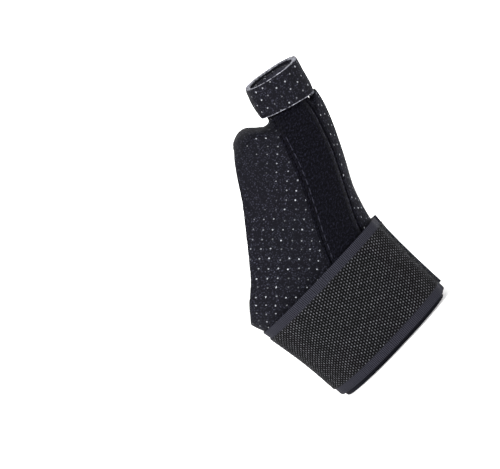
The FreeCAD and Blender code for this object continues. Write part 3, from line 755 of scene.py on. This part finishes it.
def makeStrap(name, nodes, start, end, body, replaced, bends=None, past=0, fine=5):
    tree = surfaceOf(*nodes)
    low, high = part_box("strap_palm")
    ribbed = np.linspace(low[2] + 6 * mm, high[2] - 6 * mm, 7)
    span = lambda z: (start, end)
    top, _ = wrapTable(tree, wristRay, ribbed, span, 160)
    top = smoothTable(top, 4)
    if past:
        # on into the tape that wraps the end
        onward = top[:, -1] - top[:, -4]
        onward /= np.linalg.norm(onward, axis=1, keepdims=True)
        top = np.concatenate([top, (top[:, -1] + onward * past)[:, None]], axis=1)
    top = evenRows(top)
    # carry the surface on in straight lines over both selvedges
    rise = (ribbed[0] - low[2] - 0.05 * mm) / (ribbed[1] - ribbed[0])
    under, over = top[0] + (top[0] - top[1]) * rise, top[-1] + (top[-1] - top[-2]) * rise
    table = np.concatenate([[under], top, [over]])
    heights = np.r_[low[2], ribbed, high[2]]
    even = np.linspace(heights[0], heights[-1], 25)
    table = np.array([[[np.interp(z, heights, table[:, i, k]) for k in range(3)] for i in range(table.shape[1])]
                      for z in even])
    length = rowLength(table, 12)
    columns = max(2, round(length / strap["column"] / 2) * 2)
    rows = round((high[2] - low[2]) / strap["row"] * fine)

    def relief(u, v, width, height, points):
        return strapRelief(u * columns, v * height, height, points)

    piece = layGrid(name, table, table, (columns * fine, rows), None, relief, (0, 0, strap["middle"]),
                    strap["thickness"])
    cloth = readAttribute(piece, "cloth") * mm
    tall = high[2] - low[2]
    setAttribute(piece, "edge", edgeShare(cloth[:, 1], tall))
    setAttribute(piece, "bead", beadsAt(cloth[:, 0] / cloth[:, 0].max() * columns, cloth[:, 1]))
    dress(piece, body, [elastic], replaced)
    if bends:
        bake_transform(piece)


def hinge(name):
    return Vector(next(j for j in frame["joints"] if j["name"] == name)["pos_m"])


thumbFold, palmFold = hinge("strap_palm_unwrap"), hinge("strap_ulnar_unwrap")
backFold = hinge("strap_tab_peel")
reachX = Vector((strap["reach"], 0, 0))
sewnFrom = spanSeen(surfaceOf("strap_sewn_end"), wristRay, strap["middle"], 60, 160, 0.25)[1]
tabTo = spanSeen(surfaceOf("strap_tab"), wristRay, strap["middle"], -350, -200, 0.25)[0]
thumbAngle, palmAngle, ulnarAngle = 2.0, -91.0, -182.0     # where the strap is split, at its folds
makeStrap("strapSewnEnd", ["strap_sewn_end"], sewnFrom - 0.3, thumbAngle, "sleeve", ["strap_sewn_end"])
makeStrap("strapPalm", ["strap_sewn_end", "strap_palm"], thumbAngle, palmAngle, None, ["strap_palm"],
          ("sleeve", "strap_palm", tuple(thumbFold + reachX), tuple(thumbFold - reachX)))
makeStrap("strapUlnar", ["strap_palm", "strap_ulnar"], palmAngle, ulnarAngle, None, ["strap_ulnar"],
          ("strap_palm", "strap_ulnar", tuple(palmFold + reachX), tuple(palmFold - reachX)))
makeStrap("strapTab", ["strap_ulnar", "strap_tab"], ulnarAngle, tabTo + 0.3, None, ["strap_tab"],
          ("strap_ulnar", "strap_tab", tuple(backFold - reachX), tuple(backFold + reachX)),
          past=strap["past"], fine=4)


# thumb band

band = {
    "thickness": 2.4 * mm,
    "puff": 0.75 * mm,        # stands out past the CAD's face, which is slimmer than the photograph
    "sidePuff": 1.5,          # and this many times more of it on the thumb side
    "tail": 17.5,             # degrees that the free end reaches on past the CAD
    "rawEdge": 0.25,          # mm of cut foam seen at the edge
    "reach": 3.5 * mm,        # half the length about the fold, passed on with it; nothing here bends the band
    "anchorFlat": (0.019, 0.010),     # 9.5 mm wide really; the sheet check takes no side under 10
    "anchorArea": 0.000181,
    "flat": (0.091, 0.0189),          # mean length by widest
    "area": 0.001565,                 # 17.2 mm mean width
}


def bandSpan(tree, angle):
    along = [s for s in np.arange(-22 * mm, 22 * mm, 0.2 * mm) if castHit(tree, thumbRay(angle, s))]
    return (along[0], along[-1]) if along and along[-1] - along[0] > 8 * mm else None


def paintRawEdges(piece, width):
    # the cut edges show the foam: the outermost strip, in mm, takes the second material
    across = readAttribute(piece, "cloth")[:, 1]
    widest = across.max()
    for face in piece.data.polygons:
        middle = across[list(face.vertices)].mean()
        if min(middle, widest - middle) < width:
            face.material_index = 1


def reachOn(table, degreesOn):
    # carries the last column on round the thumb, at its own radius
    last = [Vector(p) - thumbCentre for p in table[:, -1]]
    columns = [table]
    for step in range(1, 6):
        turn = Matrix.Rotation(radians(-degreesOn * step / 5), 3, thumbAxis)
        columns.append(np.array([[tuple(turn @ p + thumbCentre)] for p in last]))
    return np.concatenate(columns, axis=1)


def makeBand(name, nodes, start, end, body, replaced, bends, tail=0):
    tree = surfaceOf(*nodes)
    angles = np.linspace(start, end, 100)
    spans = [bandSpan(tree, a) for a in angles]
    met = [i for i, pair in enumerate(spans) if pair]
    edges = np.stack([np.interp(range(len(angles)), met, [spans[i][k] for i in met]) for k in (0, 1)], 1)
    smoothEdges(edges, 4)
    top = []
    for share in np.linspace(0, 1, 13):
        line = [castHit(tree, thumbRay(a, low + 0.1 * mm + (high - low - 0.2 * mm) * share))
                for a, (low, high) in zip(angles, edges)]
        top.append(fillLine(line))
    top = smoothTable(np.array(top), 3)
    if tail:
        top = reachOn(top, tail)

    def relief(u, v, width, height, points):
        rim = np.exp(-(np.minimum(v, 1 - v) * height / (0.9 * mm)) ** 2)
        crown = 0.25 * mm * np.sin(pi * v)
        toThumbSide = np.clip((points - np.array(thumbCentre)) @ np.array(thumbSide) / (15 * mm), 0, 1)
        swollen = band["puff"] * (1 + band["sidePuff"] * toThumbSide ** 2)
        return swollen + crown - 0.25 * mm * rim + waviness(points, 0.009, 15.0) * 0.35 * mm

    columns = max(12, int(rowLength(top, 6) / (0.45 * mm)))
    piece = layGrid(name, top, top, (columns, 46), None, relief, tuple(thumbCentre), band["thickness"],
                    edgeMaterial=True)
    dress(piece, body, [bandLaminate, foamEdge], replaced)
    paintRawEdges(piece, band["rawEdge"])
    if bends:
        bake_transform(piece)


bandFold = hinge("band_tab_peel")
bandReach = Vector((0, 0.99, 0.139)) * band["reach"]
makeBand("bandAnchor", ["band_sewn_end"], 37.5, 2.0, "sleeve", ["band_sewn_end"], None)
makeBand("thumbBand", ["band_sewn_end", "band_tab"], 2.0, -303.5, None, ["band_tab"],
         ("sleeve", "band_tab", tuple(bandFold - bandReach), tuple(bandFold + bandReach)),
         band["tail"])


# binding, facing, patches

binding = {
    "ribs": 1.1 * mm,
    "thickness": 0.45 * mm,
    "flat": (0.177, 0.010),   # 7.1 mm wide really; the sheet check takes no side under 10
    "area": 0.00126,
}


def makeBinding():
    tree = surfaceOf("cuff_binding")
    low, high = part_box("cuff_binding")
    rows = np.linspace(low[2] + 0.1 * mm, high[2] - 0.1 * mm, 5)
    # it goes once round the rim, from one side of the slit to the other
    hits = [a for a in np.arange(90, 450, 0.5) if castHit(tree, wristRay(a, 4 * mm))]
    gaps = np.diff(hits)
    cut = int(np.argmax(gaps)) if gaps.max() > 1 else -1
    angles = hits[cut + 1:] + [a + 360 for a in hits[:cut + 1]] if cut >= 0 else hits
    span = lambda z: (angles[0] + 0.4, angles[-1] - 0.4)
    top, _ = wrapTable(tree, wristRay, rows, span, 240)
    top = smoothTable(top, 3)

    def relief(u, v, width, height, points):
        return (0.3 * np.sin(pi * v) + 0.05 * np.sin(u * width / binding["ribs"] * 2 * pi)) * mm

    piece = layGrid("cuffBinding", top, top, (460, 12), None, relief, (0, 0, 0.004),
                    binding["thickness"])
    dress(piece, "sleeve", [bindingTape], ["cuff_binding"])


makeBinding()


facing = {"thickness": 0.6 * mm, "flat": (0.0375, 0.0205)}


def makeFacing():
    tree = surfaceOf("web_facing")
    low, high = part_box("web_facing")
    centreY = (low[1] + high[1]) / 2

    def roofRay(angle, x):
        out = Vector((0, -cos(radians(angle)), sin(radians(angle))))
        return Vector((x, centreY, 0.108)) + out * 0.05, -out, 0.048

    rows = np.linspace(low[0] + 0.2 * mm, high[0] - 0.2 * mm, 24)
    span = lambda x: spanSeen(tree, roofRay, x, 5, 175, 1.0)
    top, _ = wrapTable(tree, roofRay, rows, span, 50, None, 0.5)
    top = smoothTable(top, 3)

    def relief(u, v, width, height, points):
        near = np.minimum(np.minimum(u, 1 - u) * 1.6, np.minimum(v, 1 - v))
        sunk = 0.5 + 0.5 * (1 - np.clip(near / 0.1, 0, 1) ** 0.5)
        return -sunk * mm + waviness(points, 0.006, 2.0) * 0.25 * mm

    piece = layGrid("webFacing", top, top, (90, 60), None, relief, (0.024, centreY, 0.10),
                    facing["thickness"])
    setAttribute(piece, "plain", np.ones(len(piece.data.vertices)))
    dress(piece, "sleeve", [palmLaminate], ["web_facing"])


makeFacing()


patch = {
    "thickness": 0.55 * mm,
    "fuzz": 0.12 * mm,        # height of the loops or hooks
    "pitch": 1.2 * mm,
    "loopFlat": (0.0423, 0.0352),
    "hookFlat": (0.0383, 0.0352),
}


def makePatch(node, name, material, body, span, rows):
    top, _ = wrapTable(surfaceOf(node), wristRay, rows, lambda z: span, 80, None, 0.6)
    top = smoothTable(top, 2)

    def relief(u, v, width, height, points):
        near = np.minimum(np.minimum(u, 1 - u) * width, np.minimum(v, 1 - v) * height)
        loops = bump01(u * width / patch["pitch"]) * bump01(v * height / patch["pitch"]) * patch["fuzz"]
        return loops - 0.25 * mm * (1 - np.clip(near / (1.0 * mm), 0, 1) ** 0.5)

    piece = layGrid(name, top, top, (220, 120), None, relief, (0, 0, strap["middle"]),
                    patch["thickness"])
    dress(piece, body, [material], [node])


low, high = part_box("strap_loop_patch")
patchRows = np.linspace(low[2] + 0.2 * mm, high[2] - 0.2 * mm, 9)
makePatch("strap_loop_patch", "strapLoopPatch", patchLoop, "sleeve", (38.6, 115.4), patchRows)
makePatch("strap_hook_patch", "strapHookPatch", hookTape, "strap_tab", (42.6, 109.4), patchRows)


# nodes that keep their CAD shape: the stays, the stitches of strap and band, and two soft
# pieces that are still to be laid as cloth, the strap's end tape and the band's hook patch

def finishNode(name, material):
    node = frame["nodes"][name]
    for slotItem in node.material_slots:
        slotItem.material = material


stayMetal = satinAluminium("satinAluminiumBar")
dippedTip = plainCloth("dippedVinylTip", "#111113", "#1c1c1f", 0.5, 0.35)
for node in ("palm_stay", "back_stay"):
    finishNode(node, stayMetal)
for node in ("palm_stay_tips", "back_stay_tips"):
    finishNode(node, dippedTip)
finishNode("strap_end_tape", bindingTape)
finishNode("band_hook_patch", hookTape)
for node in frame["nodes"]:
    if node.endswith("stitches"):
        finishNode(node, thread)


# floor, light and camera

def makeStudio():
    # a white floor and a far white wall, both bright enough to read as plain paper
    paper, *_ = newMaterial("whiteStudioPaper", Base_Color=colour("#f7f7f7"), Roughness=0.9,
                            Emission_Color=colour("#ffffff"), Emission_Strength=0.35)
    glow, *_ = newMaterial("whiteStudioWall", Base_Color=colour("#ffffff"), Roughness=1.0,
                           Emission_Color=colour("#ffffff"), Emission_Strength=1.0)
    for name, size, place, turn, material in (("studioFloor", 8, (0, 0, 0), (0, 0, 0), paper),
                                              ("studioWall", 8, (0, 3.5, 0), (radians(90), 0, 0), glow)):
        deselectAll()
        bpy.ops.mesh.primitive_plane_add(size=size, location=place, rotation=turn)
        sheetOfPaper = bpy.context.object
        sheetOfPaper.name = name
        sheetOfPaper.data.materials.append(material)
    world = bpy.data.worlds.new("studio")
    world.use_nodes = True
    background = world.node_tree.nodes["Background"]
    background.inputs["Color"].default_value = (1, 1, 1, 1)
    background.inputs["Strength"].default_value = 0.5
    bpy.context.scene.world = world
    for name, place, energy, size in (("keyLight", (-0.75, -0.75, 0.85), 22.0, 0.35),
                                      ("fillLight", (0.8, -0.7, 0.5), 7.0, 0.5),
                                      ("backLight", (0.2, 0.9, 0.8), 5.0, 0.5)):
        deselectAll()
        bpy.ops.object.light_add(type="AREA", location=place)
        lamp = bpy.context.object
        lamp.name = name
        lamp.data.energy = energy
        lamp.data.size = size
        lamp.rotation_euler = (Vector((0.01, 0, 0.07)) - Vector(place)).to_track_quat("-Z", "Y").to_euler()
    bpy.context.scene.view_settings.view_transform = "Standard"


makeStudio()

camera = {
    "place": Vector((-0.006, -0.82, 0.101)),
    "aim": Vector((-0.0115, 0, 0.0912)),
    "roll": 46.5,             # degrees
    "width": 0.251,           # metres of the scene across the picture
    "sensor": 36,
}


def makeCamera():
    deselectAll()
    bpy.ops.object.camera_add(location=camera["place"])
    eye = bpy.context.object
    eye.name = "photoCamera"
    forward = (camera["aim"] - camera["place"]).normalized()
    level = forward.cross(Vector((0, 0, 1))).normalized()
    upright = level.cross(forward)
    roll = radians(camera["roll"])
    right = level * cos(roll) - upright * sin(roll)
    up = level * sin(roll) + upright * cos(roll)
    turn = Matrix((right, up, -forward)).transposed()
    eye.rotation_euler = turn.to_euler()
    distance = (camera["aim"] - camera["place"]).length
    eye.data.sensor_width = camera["sensor"]
    eye.data.lens = camera["sensor"] * distance / camera["width"]
    bpy.context.scene.camera = eye


makeCamera()
